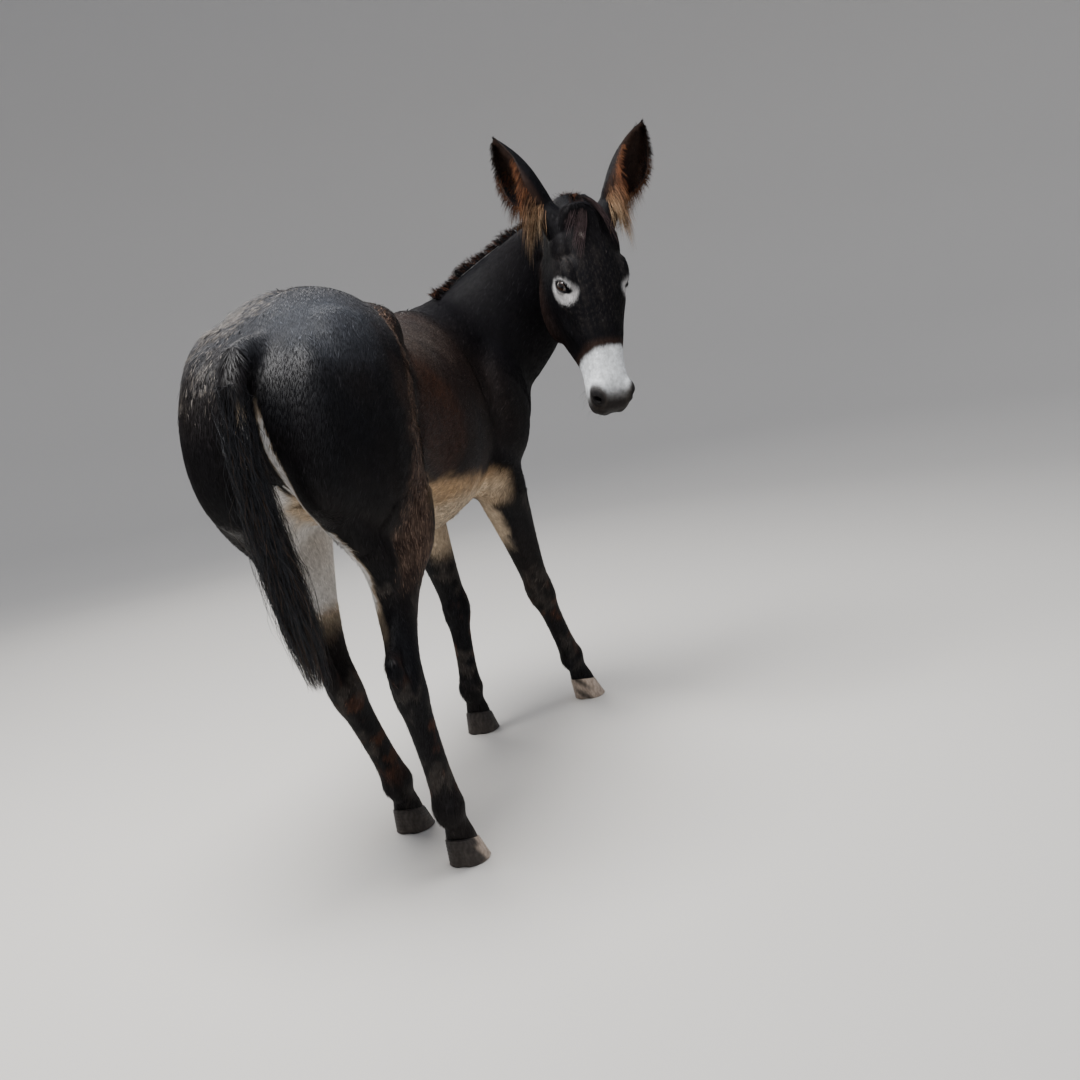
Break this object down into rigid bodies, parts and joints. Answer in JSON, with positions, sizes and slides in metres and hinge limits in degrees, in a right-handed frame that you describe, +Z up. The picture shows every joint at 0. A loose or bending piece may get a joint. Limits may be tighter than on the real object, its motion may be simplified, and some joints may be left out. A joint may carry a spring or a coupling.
{
  "type": "young black donkey, still life-size model",
  "caption": "Life-size still model of a young black mammoth-type donkey, in a walking stance, looking back over its right side",
  "frame": {"origin": "middle of the part's box, on the floor that the hooves stand on", "axes": "+X the way the body faces, +Y the animal's left, +Z up"},
  "size_m": [1.653, 0.9228, 1.65],
  "materials": {
    "coat_head": "short dense black hair, white muzzle and eye rings",
    "coat_neck": "short black hair with a thin brown mane",
    "coat_torso": "short brown-black hair, cream belly and groin",
    "coat_tail": "coarse black tail hair",
    "coat_ear": "dark outer hair, long rusty inner hair",
    "coat_leg": "short black hair with rusty patches",
    "eye": "wet dark brown",
    "hoof_dark": "dusty dark horn",
    "hoof_pale": "dusty tan and dark horn"
  },
  "bodies": {
    "root": {"head": "coat_head", "neck": "coat_neck", "torso": "coat_torso", "tail": "coat_tail", "ear_left": "coat_ear", "ear_right": "coat_ear", "eye_left": "eye", "eye_right": "eye", "leg_fore_left": "coat_leg", "leg_fore_right": "coat_leg", "leg_hind_left": "coat_leg", "leg_hind_right": "coat_leg", "hoof_fore_left": "hoof_dark", "hoof_fore_right": "hoof_pale", "hoof_hind_left": "hoof_dark", "hoof_hind_right": "hoof_pale"}
  },
  "joints": []
}
